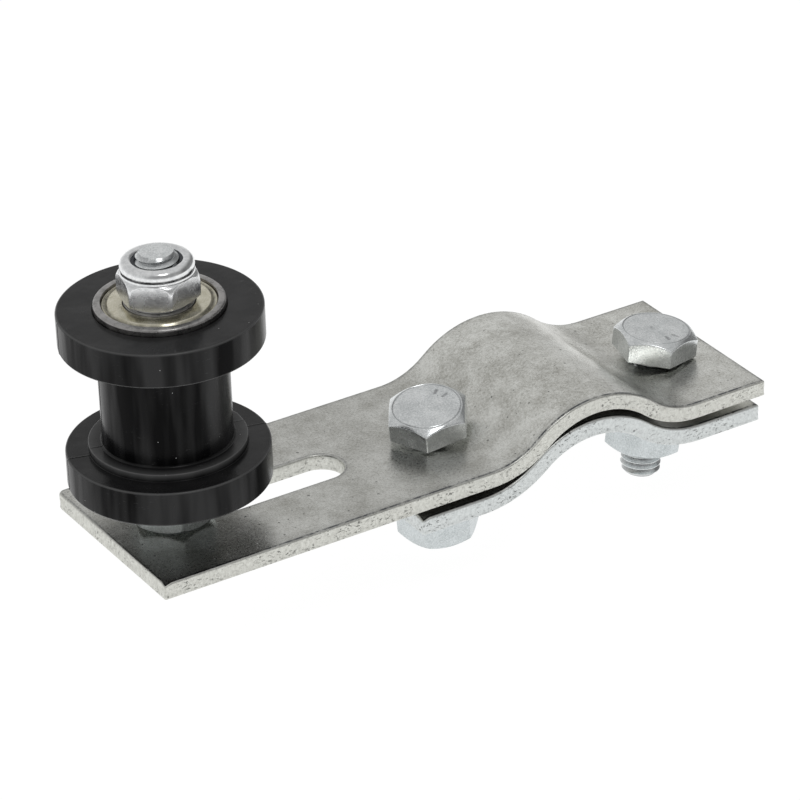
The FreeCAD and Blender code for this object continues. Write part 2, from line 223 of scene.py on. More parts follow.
def turned(section, angles, proud=lambda angle, height: 0.0):
    """A lathe shape from a closed section of (radius, height) points that runs anticlockwise.

    proud(angle, height) is how far the skin stands out along its normal there.
    """
    rings = []
    for index, (radius, height) in enumerate(section):
        before, after = Vector(section[index - 1]), Vector(section[(index + 1) % len(section)])
        along = (after - before).normalized()
        ring = []
        for angle in angles:
            out = proud(angle, height)
            reach = radius + along.y * out
            ring.append((reach * math.cos(angle), reach * math.sin(angle), height - along.x * out))
        rings.append(ring)
    return stack(rings, closed=True)


def join(*shells):
    points, faces = [], []
    for shell_points, shell_faces in shells:
        offset = len(points)
        points.extend(shell_points)
        faces.extend(tuple(index + offset for index in face) for face in shell_faces)
    return points, faces


def moved(shell, matrix):
    points, faces = shell
    return [tuple(matrix @ Vector(point)) for point in points], faces


def placed(name, data):
    """A new object in the scene."""
    made = bpy.data.objects.new(name, data)
    bpy.context.scene.collection.objects.link(made)
    return made


def piece(node, shell, material, attributes=None, sharp=32.0):
    """A finished piece that stands for a CAD node and moves with its body."""
    points, faces = shell
    mesh = bpy.data.meshes.new(node + "_detail")
    mesh.from_pydata([(x * MM, y * MM, z * MM) for x, y, z in points], [], faces)
    for name, values in (attributes or {}).items():
        layer = mesh.attributes.new(name, "FLOAT", "POINT")
        layer.data.foreach_set("value", values)
    mesh.validate()
    mesh.shade_smooth()
    mesh.set_sharp_from_angle(angle=math.radians(sharp))
    mesh.materials.append(material)
    made = placed(node + "_detail", mesh)
    weighted = made.modifiers.new("flat_faces", "WEIGHTED_NORMAL")
    weighted.keep_sharp = True
    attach(made, BODY_OF[node])
    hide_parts(node)


# ---- materials

def add_node(tree, kind, inputs, **settings):
    """A new shader node, whose inputs are values or the outputs of other nodes."""
    node = tree.nodes.new(kind)
    for name, value in settings.items():
        setattr(node, name, value)
    for socket, value in inputs.items():
        if isinstance(value, bpy.types.NodeSocket):
            tree.links.new(value, node.inputs[socket])
        else:
            node.inputs[socket].default_value = value
    return node


class Finish:
    """A Principled material, with short ways to make the nodes that pattern it.

    Lengths given to the patterns are millimetres, because the coordinates are scaled to them.
    """

    def __init__(self, name, **constants):
        self.material = bpy.data.materials.new(name)
        self.material.use_nodes = True
        self.tree = self.material.node_tree
        self.shader = self.tree.nodes["Principled BSDF"]
        for socket, value in constants.items():
            self.shader.inputs[socket.replace("_", " ")].default_value = value
        place = self.tree.nodes.new("ShaderNodeTexCoord")
        self.normal = place.outputs["Normal"]
        self.place = self.add("ShaderNodeVectorMath", {0: place.outputs["Object"], 1: (1000,) * 3},
                              operation="MULTIPLY").outputs[0]

    def add(self, kind, inputs, **settings):
        return add_node(self.tree, kind, inputs, **settings)

    def mapped(self, shift, stretch=(1, 1, 1)):
        return self.add("ShaderNodeMapping", {
            "Vector": self.place, "Scale": stretch, "Location": (shift,) * 3}).outputs[0]

    def noise(self, size, detail=3.0, roughness=0.55, stretch=(1, 1, 1), shift=0.0):
        """Soft clouds from 0 to 1, whose largest features are about size across."""
        return self.add("ShaderNodeTexNoise", {
            "Vector": self.mapped(shift, stretch), "Scale": 1 / size, "Detail": detail,
            "Roughness": roughness}).outputs[0]

    def rare_spots(self, size, radius, share, shift=0.0):
        """Round specks, 1 inside and 0 outside, in that share of the cells of that size."""
        cells = self.add("ShaderNodeTexVoronoi", {
            "Vector": self.mapped(shift), "Scale": 1 / size}).outputs
        inside = self.ramp(cells["Distance"], (radius / size * 0.6, 1), (radius / size, 0))
        return self.times(inside, self.math("LESS_THAN", cells["Color"], share))

    def ramp(self, value, start, end):
        """A straight change between two (input, output) pairs, level outside them."""
        return self.add("ShaderNodeMapRange", {
            "Value": value, "From Min": start[0], "From Max": end[0],
            "To Min": start[1], "To Max": end[1]}, clamp=True).outputs[0]

    def math(self, operation, first, second):
        return self.add("ShaderNodeMath", {0: first, 1: second}, operation=operation).outputs[0]

    def times(self, first, second):
        return self.math("MULTIPLY", first, second)

    def mix(self, share, first, second):
        """A colour between two, by a pattern."""
        node = self.add("ShaderNodeMix", {"Factor": share}, data_type="RGBA")
        for socket, value in ((node.inputs[6], first), (node.inputs[7], second)):
            if isinstance(value, bpy.types.NodeSocket):
                self.tree.links.new(value, socket)
            else:
                socket.default_value = (*value, 1.0)
        return node.outputs[2]

    def blend(self, pattern, low, high, first, second):
        """The first colour where the pattern is low, the second where it is high."""
        return self.mix(self.ramp(pattern, (low, 0), (high, 1)), first, second)

    def attribute(self, name):
        return self.add("ShaderNodeAttribute", {}, attribute_name=name).outputs["Fac"]

    def bump(self, height, distance, strength=1.0, under=None):
        """Relief of that height in millimetres, over the relief under it."""
        inputs = {"Height": height, "Distance": distance * MM, "Strength": strength}
        if under is not None:
            inputs["Normal"] = under
        return self.add("ShaderNodeBump", inputs).outputs[0]

    def wear(self, **patterns):
        """Connects patterns to the shader and gives the material back."""
        for socket, pattern in patterns.items():
            self.tree.links.new(pattern, self.shader.inputs[socket.replace("_", " ")])
        return self.material


def plate_steel(name, face_light, face_dark, wall_light, wall_dark, roughness):
    """Zinc-plated strip: mottled faces, paler sheared edges, pits and a painted shade line inside
    the rolled edges.
    """
    steel = Finish(name, Metallic=1.0)
    clouds = steel.noise(9.0, 8.0, 0.75)
    grain = steel.noise(0.45, 4.0, 0.85)
    mottle = steel.math("ADD", steel.times(clouds, 0.5), steel.times(grain, 0.5))
    face = steel.blend(mottle, 0.40, 0.58, face_dark, face_light)
    wall_grain = steel.noise(0.7, 6.0, 0.8, (1.2, 1.2, 0.8))
    wall = steel.blend(wall_grain, 0.36, 0.62, wall_dark, wall_light)
    face = steel.mix(steel.times(steel.attribute("oiled"), 0.3), face, (0.30, 0.30, 0.285))
    wallness = steel.attribute("wall")
    colour = steel.mix(wallness, face, wall)
    # painted shade: a broken dark line just inside the rolled edges, stronger on the front edge
    broken = steel.ramp(steel.noise(1.6, 4.0, 0.7, shift=7.0), (0.40, 0.35), (0.54, 1.0))
    painted_edge_line = steel.times(steel.attribute("painted_edge_line"), broken)
    colour = steel.mix(painted_edge_line, colour, (0.06, 0.065, 0.075))
    patches = steel.ramp(steel.noise(5.0, 3.0, 0.6, shift=31.0), (0.45, 0), (0.6, 1))
    pits = steel.times(steel.rare_spots(1.1, 0.2, 0.35), patches)
    flecks = steel.rare_spots(3.1, 0.3, 0.4, shift=12.0)
    torn = steel.ramp(steel.noise(4.0, 3.0, 0.6, shift=51.0), (0.46, 0.25), (0.56, 1))
    nicks = steel.noise(0.55, 4.0, 0.8, (0.55, 1.0, 1.3), shift=64.0)
    nicks = steel.ramp(nicks, (0.57, 0), (0.63, 1))
    nicks = steel.math("MAXIMUM", nicks, steel.rare_spots(0.8, 0.2, 0.35, shift=4.0))
    edge_pits = steel.times(nicks, steel.times(wallness, torn))
    holes = steel.math("MAXIMUM", steel.math("MAXIMUM", pits, flecks), edge_pits)
    colour = steel.mix(steel.times(holes, 0.65), colour, (0.045, 0.043, 0.04))
    rough = steel.ramp(grain, (0.3, roughness - 0.05), (0.7, roughness + 0.06))
    rough = steel.math("ADD", rough, steel.times(wallness, 0.14))
    relief = steel.bump(grain, 0.012)
    relief = steel.bump(steel.noise(2.2, 4.0, 0.6, shift=3.0), 0.05, 0.6, relief)
    relief = steel.bump(steel.math("SUBTRACT", 1.0, holes), 0.06, 1.0, relief)
    return steel.wear(Base_Color=colour, Roughness=rough, Normal=relief)


def zinc(name, light, dark, roughness, grain_size=0.3, relief=0.012, tarnish=0.3):
    """Zinc-plated fastener: fine grain, faint clouds, a few specks of tarnish and painted shade in
    recesses.
    """
    plate = Finish(name, Metallic=1.0)
    grain = plate.noise(grain_size, 4.0, 0.7)
    clouds = plate.noise(3.5, 4.0, 0.6, shift=9.0)
    tone = plate.math("ADD", plate.times(grain, 0.68), plate.times(clouds, 0.32))
    colour = plate.blend(tone, 0.38, 0.62, dark, light)
    specks = plate.rare_spots(0.9, 0.12, 0.3, shift=5.0)
    # painted shade: the recess attribute darkens turned rings, marks and thread roots, mixed with
    # the real tarnish specks
    painted_recess_shade = plate.times(plate.attribute("painted_recess_shade"), 0.75)
    tarnish_and_shade = plate.math("MAXIMUM", plate.times(specks, tarnish), painted_recess_shade)
    colour = plate.mix(tarnish_and_shade, colour, (0.10, 0.10, 0.11))
    rough = plate.ramp(clouds, (0.35, roughness - 0.04), (0.65, roughness + 0.06))
    rough = plate.math("ADD", rough, plate.times(plate.attribute("matte"), 0.07))
    bump = plate.bump(grain, relief)
    bump = plate.bump(clouds, relief * 4, 0.5, bump)
    return plate.wear(Base_Color=colour, Roughness=rough, Normal=bump)


def ground_steel(name, light, dark):
    """Bearing rings: grinding lines round the axis and small dark pits."""
    steel = Finish(name, Metallic=1.0)
    clouds = steel.noise(2.0, 4.0, 0.6)
    lines = steel.noise(0.5, 3.0, 0.6, (0.4, 0.4, 6.0))
    colour = steel.blend(clouds, 0.35, 0.65, dark, light)
    pits = steel.rare_spots(0.7, 0.14, 0.3)
    colour = steel.mix(steel.times(pits, 0.7), colour, (0.05, 0.05, 0.05))
    rough = steel.ramp(clouds, (0.3, 0.22), (0.7, 0.36))
    return steel.wear(Base_Color=colour, Roughness=rough, Normal=steel.bump(lines, 0.01))


def shield_steel(name, light, dark):
    """Pressed shields: a satin plate with patchy painted shade in the groove and bead round its
    edge.
    """
    steel = Finish(name, Metallic=1.0)
    clouds = steel.noise(2.5, 4.0, 0.6, shift=2.0)
    grain = steel.noise(0.2, 3.0, 0.7)
    colour = steel.blend(clouds, 0.35, 0.65, dark, light)
    patchy = steel.ramp(steel.noise(1.2, 3.0, 0.6, shift=8.0), (0.35, 0.5), (0.6, 0.95))
    # painted shade: a patchy dark band in the groove and bead round the shield's edge
    groove_shade = steel.times(steel.attribute("painted_recess_shade"), patchy)
    colour = steel.mix(groove_shade, colour, (0.05, 0.047, 0.035))
    rough = steel.ramp(grain, (0.3, 0.2), (0.7, 0.3))
    return steel.wear(Base_Color=colour, Roughness=rough, Normal=steel.bump(grain, 0.006))


def black_nylon():
    """Moulded black nylon: a fine skin, faint flow marks that are also painted as lighter reflection
    bands, end faces painted lighter than the sides, grey scuffs, pale specks and painted highlights
    along the edges.
    """
    nylon = Finish("black_nylon")
    skin = nylon.noise(0.25, 4.0, 0.65)
    flow = nylon.noise(6.0, 3.0, 0.55, (1, 1, 0.12), shift=15.0)
    # painted light: faces across the axis are painted lighter than the sides, and the flow marks
    # lighten the sides like reflection bands
    facing = nylon.add("ShaderNodeSeparateXYZ", {0: nylon.normal}).outputs["Z"]
    end_face = nylon.ramp(nylon.math("ABSOLUTE", facing, 0.0), (0.3, 0), (0.8, 1))
    flow_and_painted_light = nylon.ramp(flow, (0.40, 0), (0.64, 1))
    flow_and_painted_light = nylon.times(flow_and_painted_light, nylon.ramp(end_face, (0, 1), (1, 0.25)))
    flow_and_painted_light = nylon.math("ADD", flow_and_painted_light, nylon.times(end_face, 0.7))
    colour = nylon.mix(flow_and_painted_light, (0.002, 0.002, 0.0022), (0.016, 0.016, 0.0165))
    scuffs = nylon.ramp(nylon.noise(0.7, 4.0, 0.75, (0.5, 0.5, 2.0)), (0.62, 0), (0.72, 1))
    rubbed = nylon.ramp(nylon.noise(8.0, 2.0, 0.5, shift=40.0), (0.5, 0), (0.62, 1))
    scuffs = nylon.times(scuffs, rubbed)
    colour = nylon.mix(nylon.times(scuffs, 0.35), colour, (0.14, 0.14, 0.14))
    specks = nylon.rare_spots(1.3, 0.11, 0.2, shift=6.0)
    colour = nylon.mix(nylon.times(specks, 0.8), colour, (0.5, 0.5, 0.5))
    # painted highlight: pale lines along the flange edges and shoulders
    colour = nylon.mix(nylon.times(nylon.attribute("painted_edge_line"), 0.6), colour, (0.24, 0.24, 0.24))
    rough = nylon.ramp(flow, (0.3, 0.18), (0.7, 0.28))
    gloss = nylon.ramp(flow_and_painted_light, (0, 0.06), (1, 0.24))
    bump = nylon.bump(skin, 0.006)
    bump = nylon.bump(flow, 0.2, 0.6, bump)
    return nylon.wear(Base_Color=colour, Roughness=rough, Specular_IOR_Level=gloss, Normal=bump)


def insert_nylon():
    """The locking ring: dull grey-blue nylon."""
    nylon = Finish("insert_nylon")
    grain = nylon.noise(0.4, 4.0, 0.65)
    colour = nylon.blend(grain, 0.35, 0.65, (0.02, 0.022, 0.028), (0.045, 0.05, 0.06))
    rough = nylon.ramp(grain, (0.3, 0.45), (0.7, 0.6))
    return nylon.wear(Base_Color=colour, Roughness=rough, Normal=nylon.bump(grain, 0.02))


ARM_STEEL = plate_steel("arm_zinc_steel", (0.88, 0.885, 0.845), (0.43, 0.425, 0.385),
                        (0.73, 0.735, 0.69), (0.52, 0.52, 0.48), 0.29)
CLAMP_STEEL = plate_steel("clamp_zinc_steel", (0.70, 0.70, 0.67), (0.48, 0.48, 0.45),
                          (0.76, 0.79, 0.785), (0.58, 0.605, 0.60), 0.34)
BOLT_ZINC = zinc("bolt_zinc", (0.93, 0.95, 0.95), (0.56, 0.585, 0.59), 0.25, tarnish=0.6)
NUT_ZINC = zinc("nut_zinc", (0.70, 0.74, 0.75), (0.46, 0.495, 0.50), 0.30, relief=0.016)
BRIGHT_ZINC = zinc("bright_zinc", (0.90, 0.91, 0.91), (0.70, 0.71, 0.72), 0.17, 0.8, 0.012, 0.1)
SPACER_STEEL = zinc("spacer_steel", (0.62, 0.63, 0.64), (0.50, 0.51, 0.52), 0.3)
BALL_STEEL = zinc("ball_steel", (0.80, 0.81, 0.82), (0.74, 0.75, 0.76), 0.08, 0.4, 0.002, 0.05)
CAGE_STEEL = zinc("cage_steel", (0.60, 0.58, 0.54), (0.48, 0.46, 0.43), 0.34)
RING_STEEL = ground_steel("bearing_ring_steel", (0.44, 0.43, 0.42), (0.24, 0.235, 0.23))
# painted shade: darker copies of the bearing steels for the lower bearing, which sits in the
# roller's shade
PAINTED_SHADE_RING_STEEL = ground_steel("painted_shade_ring_steel", (0.10, 0.10, 0.10), (0.05, 0.05, 0.05))
SHIELD_STEEL = shield_steel("shield_steel", (0.78, 0.745, 0.62), (0.58, 0.55, 0.43))
PAINTED_SHADE_SHIELD_STEEL = shield_steel("painted_shade_shield_steel", (0.09, 0.087, 0.08), (0.05, 0.048, 0.045))
BLACK_NYLON = black_nylon()
INSERT_NYLON = insert_nylon()


# ---- plates

class Rectangle:
    """A plate's outline in plan, its corner radii given anticlockwise from high x and high y."""

    def __init__(self, low, high, radii):
        self.low, self.high, self.corners = low, high, []
        for (side_x, side_y), radius in zip(((1, 1), (-1, 1), (-1, -1), (1, -1)), radii):
            x = high.x - radius if side_x > 0 else low.x + radius
            y = high.y - radius if side_y > 0 else low.y + radius
            self.corners.append((side_x, side_y, x, y, radius))

    def depth(self, x, y):
        """How far inside the plate a point is."""
        for side_x, side_y, centre_x, centre_y, radius in self.corners:
            across, along = (x - centre_x) * side_x, (y - centre_y) * side_y
            if across > 0 and along > 0:
                return radius - math.hypot(across, along)
        return min(x - self.low.x, self.high.x - x, y - self.low.y, self.high.y - y)

    def loop(self, inset, spacing):
        points = []
        for quarter, (side_x, side_y, x, y, radius) in enumerate(self.corners):
            reach = radius - inset
            if reach > 0.02:
                points += arc((x, y), reach, 90 * quarter, 90 * quarter + 90, CORNER_STEPS)
            else:
                points.append((x + side_x * reach, y + side_y * reach))
        return subdivided(points, spacing)


class Slot:
    """A straight slot with round ends on the X axis; of no length, it is a round hole."""

    def __init__(self, start_x, end_x, radius):
        self.start_x, self.end_x, self.radius = start_x, end_x, radius

    def depth(self, x, y):
        """How far outside the slot a point is."""
        return math.hypot(x - min(max(x, self.start_x), self.end_x), y) - self.radius

    def loop(self, inset, spacing):
        radius = self.radius + inset
        points = arc((self.end_x, 0.0), radius, -90, 90, HALF_CIRCLE_STEPS)
        points += arc((self.start_x, 0.0), radius, 90, 270, HALF_CIRCLE_STEPS)
        return subdivided(points, spacing)


def subdivided(points, spacing):
    """The same closed loop with no step longer than the spacing, and no doubled points."""
    result = []
    for (x, y), (next_x, next_y) in zip(points, points[1:] + points[:1]):
        length = math.hypot(next_x - x, next_y - y)
        if length > 1e-4:
            parts = math.ceil(length / spacing)
            result += [(x + (next_x - x) * (part / parts), y + (next_y - y) * (part / parts))
                       for part in range(parts)]
    return result


def hump_lift(centre, height, crown, foot):
    """The rise of a bent face over its flat stretches, as a function of x."""
    half_width = math.sqrt(2 * (crown + foot) * height - height ** 2)
    slope = 2 * math.atan(height / half_width)

    def lift(x):
        away = abs(x - centre)
        if away >= half_width:
            return 0.0
        if away <= crown * math.sin(slope):
            return height - crown + math.sqrt(crown ** 2 - away ** 2)
        return foot - math.sqrt(foot ** 2 - (half_width - away) ** 2)

    return lift


def edge_drop(depth, radius):
    """How far a rounded edge falls below its face, at that depth inside the outline."""
    if depth >= radius:
        return 0.0
    return radius - math.sqrt(max(0.0, radius ** 2 - (radius - depth) ** 2))


def plate(node, material, outline, holes, top, bottom, roll, burr, dents, seed):
    """A bent plate: rolled upper edges, burred lower ones and rough sheared walls.

    top and bottom give the height of each face at x. dents are (x, y, radius, depth).
    """
    shuffle = random.Random(seed)
    cuts = [outline] + holes
    insets = [roll * (1 - math.cos(math.radians(angle))) for angle in (0, 22, 45, 67, 90)]
    insets += [roll + 0.14, roll + RIM_REACH]
    points, edges = [], []
    for cut in cuts:
        for inset in insets:
            loop = cut.loop(inset, EDGE_SPACING if cut is outline else HOLE_SPACING)
            first = len(points)
            points += loop
            edges += [(first + i, first + (i + 1) % len(loop)) for i in range(len(loop))]
    for column in range(int((outline.high.x - outline.low.x) / GRID_STEP)):
        for row in range(int((outline.high.y - outline.low.y) / GRID_STEP) + 1):
            x = outline.low.x + (column + 0.5) * GRID_STEP
            y = outline.low.y + row * GRID_STEP
            if min(cut.depth(x, y) for cut in cuts) > roll + GRID_MARGIN:
                points.append((x, y))
    plan, _, triangles, *_ = delaunay_2d_cdt([Vector(p) for p in points], edges, [], 0, 1e-5)
    plan = [(point.x, point.y) for point in plan]
    kept = []
    for triangle in triangles:
        x = sum(plan[index][0] for index in triangle) / 3
        y = sum(plan[index][1] for index in triangle) / 3
        if min(cut.depth(x, y) for cut in cuts) > 0:
            kept.append(tuple(triangle))

    depths = [min(cut.depth(x, y) for cut in cuts) for x, y in plan]
    wall = 2 * [nearness(depth, 0.55 * roll) for depth in depths]
    # the edge-line values paint a dark shade line just inside the rolled upper edges, and a fainter
    # one on the lower face
    shell, painted_edge_line = [], []
    for (x, y), depth in zip(plan, depths):
        sunk = sum(amount * nearness((x - dx) ** 2 + (y - dy) ** 2, radius ** 2) ** 2
                   for dx, dy, radius, amount in dents)
        shell.append((x, y, top(x) - edge_drop(depth, roll) - sunk))
        shown = FRONT_RIM if y < outline.low.y + 1.5 else OTHER_RIM
        painted_edge_line.append(min(1.0, shown * nearness(abs(depth - roll - RIM_OFFSET), RIM_REACH)))
    under = len(shell)
    for (x, y), depth in zip(plan, depths):
        shell.append((x, y, bottom(x) + edge_drop(depth, burr)))
        painted_edge_line.append(nearness(abs(depth - roll), 0.3) * 0.5)
    faces = kept + [tuple(index + under for index in reversed(triangle)) for triangle in kept]

    sides = [side for a, b, c in kept for side in ((a, b), (b, c), (c, a))]
    known = set(sides)
    border = [(start, end) for start, end in sides if (end, start) not in known]
    columns = {}
    for start, _ in border:
        x, y = plan[start]
        column = [start]
        high, low = shell[start][2], shell[start + under][2]
        inward = inward_of(cuts, x, y)
        for row in range(1, WALL_ROWS):
            share = row / WALL_ROWS
            rough = shuffle.uniform(0.0, WALL_ROUGHNESS) + (TORN_DEPTH if share > TORN_FROM else 0.0)
            column.append(len(shell))
            shell.append((x + inward[0] * rough, y + inward[1] * rough,
                          high + (low - high) * share))
            wall.append(1.0)
            painted_edge_line.append(0.0)
        column.append(start + under)
        columns[start] = column
    for start, end in border:
        for row in range(WALL_ROWS):
            faces.append((columns[start][row], columns[start][row + 1],
                          columns[end][row + 1], columns[end][row]))
    oiled = [min(1.0, max(0.0, (OIL_EDGE - x) / OIL_FADE)) for x, _, _ in shell]
    piece(node, (shell, faces), material, {"wall": wall, "painted_edge_line": painted_edge_line, "oiled": oiled})


def inward_of(cuts, x, y):
    """The direction into the plate's metal from a point on one of its edges."""
    nearest = min(cuts, key=lambda cut: abs(cut.depth(x, y)))
    step = 0.01
    along_x = nearest.depth(x + step, y) - nearest.depth(x - step, y)
    along_y = nearest.depth(x, y + step) - nearest.depth(x, y - step)
    length = math.hypot(along_x, along_y) or 1.0
    return along_x / length, along_y / length


def hole_at(screw, height, diameter):
    """The round hole where a leaning screw's axis crosses that height."""
    depth = ARM_TOP + screw["lift"] - height
    x = screw["x"] - depth * math.tan(math.radians(screw["lean_x"]))
    return Slot(x, x, diameter / 2)


def bends(centre, height, thickness, foot):
    """The rises of a plate's upper and lower faces over its hump."""
    return (hump_lift(centre, height, CROWN_RADIUS, foot),
            hump_lift(centre, height, CROWN_RADIUS - thickness, foot + thickness))


def arm_plate():
    upper, lower = bends(ARM_HUMP_SHIFT, ARM_HIGH.z - ARM_TOP, ARM_THICKNESS, ARM_FOOT_RADIUS)
    radii = (SHARP_CORNER, ROUNDED_CORNER, SHARP_CORNER, SHARP_CORNER)
    middle = ARM_TOP - ARM_THICKNESS / 2
    holes = [
        Slot(SLOT_START + SLOT_WIDTH / 2, SLOT_START + SLOT_LENGTH - SLOT_WIDTH / 2,
             SLOT_WIDTH / 2),
        hole_at(FRONT_SCREW, middle, ARM_HOLE),
        hole_at(REAR_SCREW, middle, ARM_HOLE)]
    dents = [
        (ARM_LOW.x + 0.4, ARM_LOW.y + 0.5, 1.0, 0.35),
        (-44.7, -12.5, 0.8, 0.06),
        (-14.5, -19.3, 0.7, 0.10),
        (-86.0, -12.0, 0.7, 0.05)]
    plate("arm_plate", ARM_STEEL, Rectangle(ARM_LOW, ARM_HIGH, radii), holes,
          lambda x: ARM_TOP + upper(x), lambda x: ARM_LOW.z + lower(x),
          ARM_ROLL, ARM_BURR, dents, seed=11)


def clamp_plate():
    upper, lower = bends(0.0, CLAMP_HIGH.z - CLAMP_TOP, CLAMP_THICKNESS, CLAMP_FOOT_RADIUS)
    middle = CLAMP_TOP - (CLAMP_THICKNESS + CLAMP_TRAVEL) / 2
    holes = [hole_at(screw, middle, CLAMP_HOLE) for screw in (FRONT_SCREW, REAR_SCREW)]
    dents = [(CLAMP_LOW.x + 0.3, CLAMP_LOW.y + 0.6, 1.1, 0.45)]
    plate("clamp_plate", CLAMP_STEEL, Rectangle(CLAMP_LOW, CLAMP_HIGH, (SHARP_CORNER,) * 4), holes,
          lambda x: CLAMP_TOP + upper(x), lambda x: CLAMP_LOW.z + lower(x),
          CLAMP_ROLL, CLAMP_BURR, dents, seed=23)


# ---- fasteners

def hexagon_outline(across_flats, turn, corner=0.35):
    """Points round a hexagon with slightly rounded corners, COLUMNS_PER_TURN in all."""
    apothem = across_flats / 2
    corner_angle = math.degrees(math.atan(corner * math.tan(math.radians(30)) / apothem))
    steps = [-30 + corner_angle * share for share in (0.0, 0.45, 0.9)]
    inner = COLUMNS_PER_TURN // 6 - 5   # the other 5 points of each side lie at its corners
    steps += [-30 + corner_angle * 1.8 + (60 - 3.6 * corner_angle) * i / (inner - 1)
              for i in range(inner)]
    steps += [30 - corner_angle * share for share in (0.9, 0.45)]
    softened = apothem / math.cos(math.radians(30)) - CORNER_LOSS * corner
    points = []
    for side in range(6):
        for step in steps:
            away = math.radians(step)
            reach = min(apothem / math.cos(away), softened)
            angle = math.radians(turn + 30 + 60 * side) + away
            points.append((reach * math.cos(angle), reach * math.sin(angle)))
    return points


def ring_at(outline, radius, height):
    """A circle of that radius with a point on each spoke of the outline."""
    return [(x / math.hypot(x, y) * radius, y / math.hypot(x, y) * radius, height)
            for x, y in outline]


def rings_at(outline, *places):
    """Such a circle for each (radius, height)."""
    return [ring_at(outline, radius, height) for radius, height in places]


def chamfered_side(outline, ease, level):
    """Rings where a hexagon's wall turns into the cone or dome whose height is level(radius)."""
    upper = []
    for back, sink in ((0.0, ease), (0.25 * ease, 0.25 * ease), (ease, 0.0)):
        ring = []
        for x, y in outline:
            reach = math.hypot(x, y)
            shrink = (reach - back) / reach
            ring.append((x * shrink, y * shrink, level(reach - back) - sink))
        upper.append(ring)
    return upper


def between(first, second, parts):
    """Rings evenly spaced between two, both left out."""
    rings = []
    for part in range(1, parts):
        share = part / parts
        rings.append([tuple(a + (b - a) * share for a, b in zip(p, q))
                      for p, q in zip(first, second)])
    return rings


def cone(circle, height, slope=CHAMFER_SLOPE):
    return lambda radius: height - max(0.0, radius - circle) * slope


def flipped(rings, height):
    """The same rings seen from the other end, in the same order round the axis."""
    return [[(x, y, height - z) for x, y, z in ring] for ring in reversed(rings)]


def thread(top, bottom, outline):
    """A right-handed thread between two heights, open at the top and capped at the bottom."""
    crest, root = 0.10, 0.14          # flats, as shares of the pitch
    foot = THREAD_RADIUS - THREAD_DEPTH * 0.94
    section = [(0.0, THREAD_RADIUS), (crest, THREAD_RADIUS),
               (0.5 * (1 - root + crest) - 0.02, foot),
               (0.5 * (1 + crest), THREAD_RADIUS - THREAD_DEPTH),
               (0.5 * (1 + root + crest) + 0.02, foot)]
    angles = [math.atan2(y, x) for x, y in outline]
    turns = math.ceil((top - bottom) / THREAD_PITCH) + 2
    points = []
    for angle in angles:
        share = (angle - angles[0]) % (2 * math.pi) / (2 * math.pi)
        for turn in range(turns):
            for along, radius in section:
                height = bottom + (turn - 1 + along + share) * THREAD_PITCH
                height = min(max(height, bottom), top)
                tip = THREAD_END_RADIUS + (height - bottom) * 0.9
                neck = THREAD_END_RADIUS + (top - height) * 1.4
                reach = min(radius, tip, neck)
                points.append((reach * math.cos(angle), reach * math.sin(angle), height))
    count, rows = len(angles), turns * len(section)
    faces = []
    for index in range(count):
        following = (index + 1) % count
        rise = len(section) if following == 0 else 0
        for row in range(rows - 1 - rise):
            left, right = index * rows + row, following * rows + row + rise
            faces.append((left, right, right + 1, left + 1))
    centre = len(points)
    points.append((0.0, 0.0, bottom))
    faces += [(centre, (index + 1) % count * rows, index * rows) for index in range(count)]
    return merged((points, faces))


def merged(shell):
    """The same shell with points at the same place made one and empty faces left out."""
    points, faces = shell
    places, numbers, kept = {}, [], []
    for point in points:
        key = tuple(round(value, 5) for value in point)
        if key not in places:
            places[key] = len(kept)
            kept.append(point)
        numbers.append(places[key])
    loops = [tuple(dict.fromkeys(numbers[index] for index in face)) for face in faces]
    return kept, [loop for loop in loops if len(loop) > 2]


def head_marks(x, y, turn):
    """The depth of two short plain dashes pressed into a bolt head near its edge."""
    deepest = 0.0
    for side in (-1, 1):
        angle = math.radians(turn + MARK_SPREAD * side)
        middle = Vector((MARK_DISTANCE * math.cos(angle), MARK_DISTANCE * math.sin(angle)))
        along = Vector((math.cos(angle), math.sin(angle)))
        offset = Vector((x, y)) - middle
        reach = min(max(offset.dot(along), -MARK_HALF_LENGTH), MARK_HALF_LENGTH)
        distance = (offset - along * reach).length
        deepest = max(deepest, MARK_DEPTH * min(1.0, max(0.0, (0.34 - distance) / 0.16)))
    return deepest


def head_recess_shade(x, y, z, marks):
    """How much painted shade darkens a head's turned ring, its marks and the roots between the
    threads.
    """
    reach = math.hypot(x, y)
    if z < -0.3:
        on_end = reach < THREAD_END_RADIUS + 0.05
        return 0.0 if on_end else min(1.0, (THREAD_RADIUS - reach) / THREAD_DEPTH) * 0.6
    if z < HEAD_HEIGHT - 0.15:
        return 0.0
    ring = nearness(abs(reach - CHAMFER_CIRCLE * ACROSS_FLATS / 2 + 0.2), 0.13)
    return max(ring, head_marks(x, y, marks) / 0.12)


